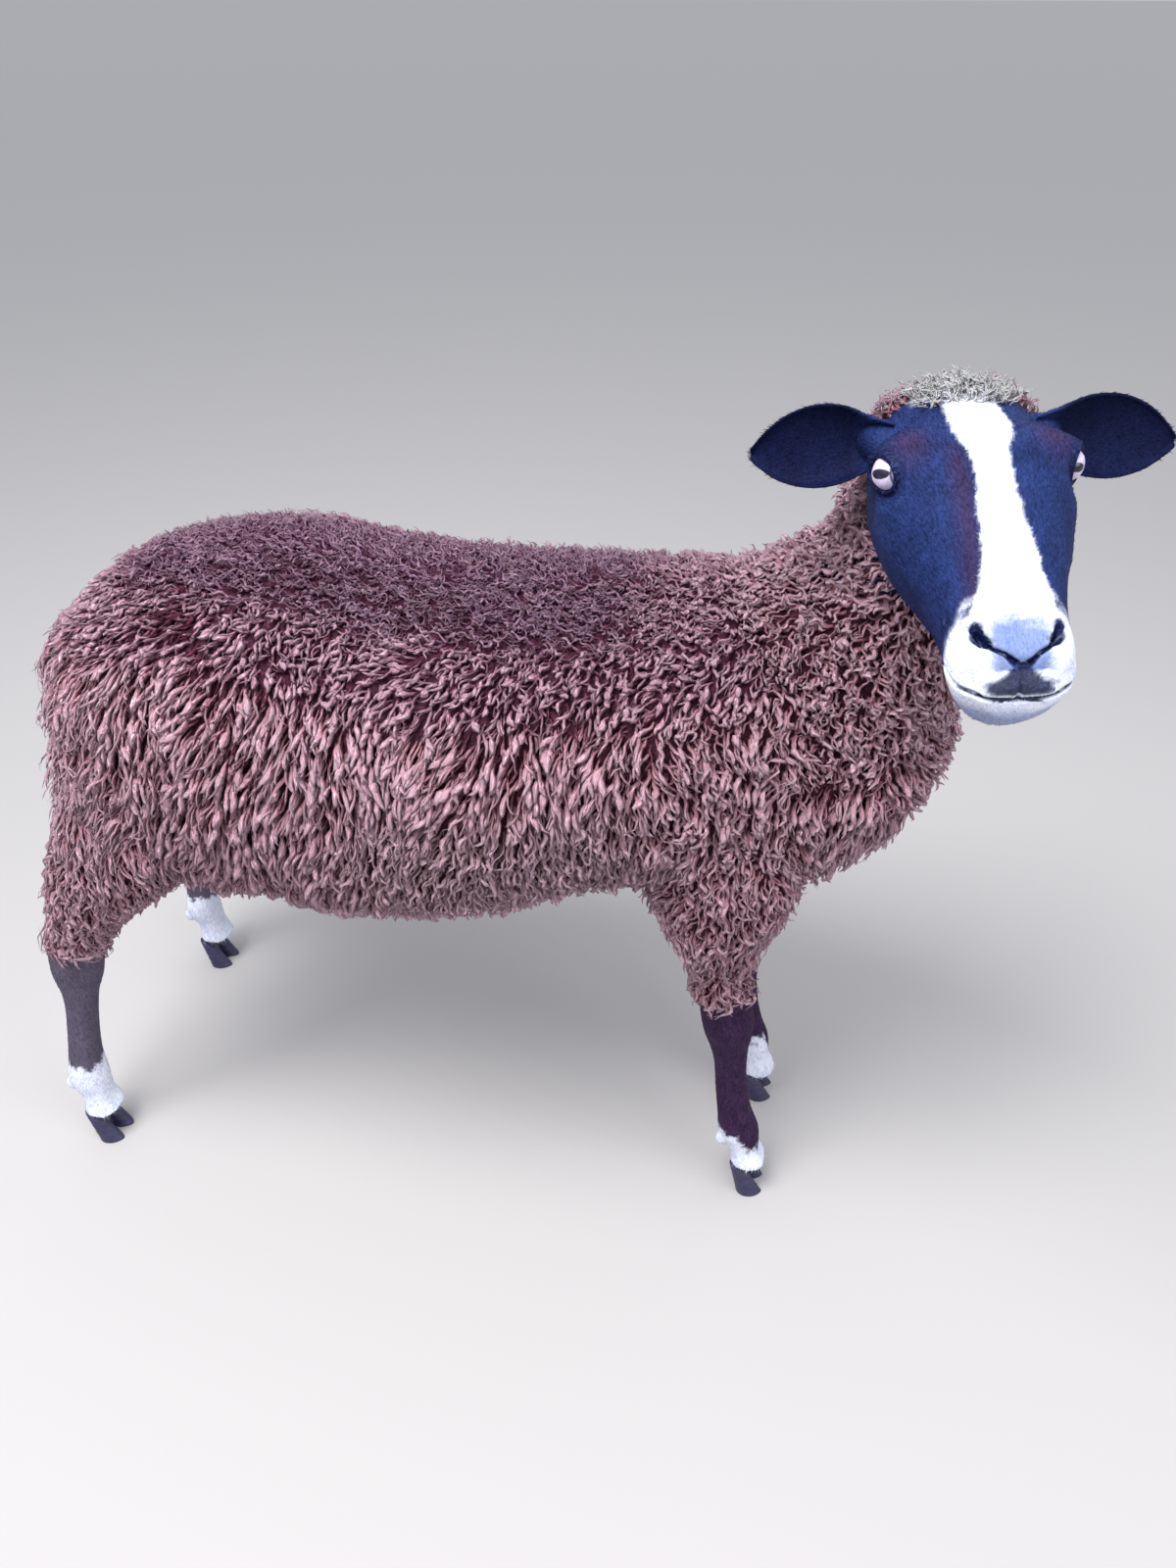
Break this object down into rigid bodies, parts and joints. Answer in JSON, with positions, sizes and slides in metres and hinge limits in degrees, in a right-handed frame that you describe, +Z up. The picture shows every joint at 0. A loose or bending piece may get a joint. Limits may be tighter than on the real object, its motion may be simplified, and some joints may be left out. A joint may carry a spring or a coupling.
{
  "type": "zwartbles sheep",
  "caption": "Life-size still model of a woolly brown sheep, standing with its head turned to its right, for display in a farm or museum scene.",
  "frame": {"origin": "centre of the whole model's box, on the floor under the hooves", "axes": "+X towards the chest, +Y towards the sheep's left side, +Z up"},
  "size_m": [1.0862, 0.539, 0.9648],
  "materials": {
    "fleece": "matt curly wool, mauve brown, paler at the lock tips",
    "face": "short, flat blue-black hair with a white blaze and muzzle",
    "shank": "short dark brown hair with white socks",
    "horn": "satin dark hoof horn",
    "eye": "wet gloss, pale iris with a level dark pupil"
  },
  "bodies": {
    "root": {"torso": "fleece", "neck": "fleece", "tail": "fleece", "head": "face", "ear_left": "face", "eye_left": "eye", "foreleg_left": "fleece", "foreshank_left": "shank", "forehoof_left_inner": "horn", "forehoof_left_outer": "horn", "hindleg_left": "fleece", "hindshank_left": "shank", "hindhoof_left_inner": "horn", "hindhoof_left_outer": "horn", "ear_right": "face", "eye_right": "eye", "foreleg_right": "fleece", "foreshank_right": "shank", "forehoof_right_inner": "horn", "forehoof_right_outer": "horn", "hindleg_right": "fleece", "hindshank_right": "shank", "hindhoof_right_inner": "horn", "hindhoof_right_outer": "horn"}
  },
  "joints": []
}
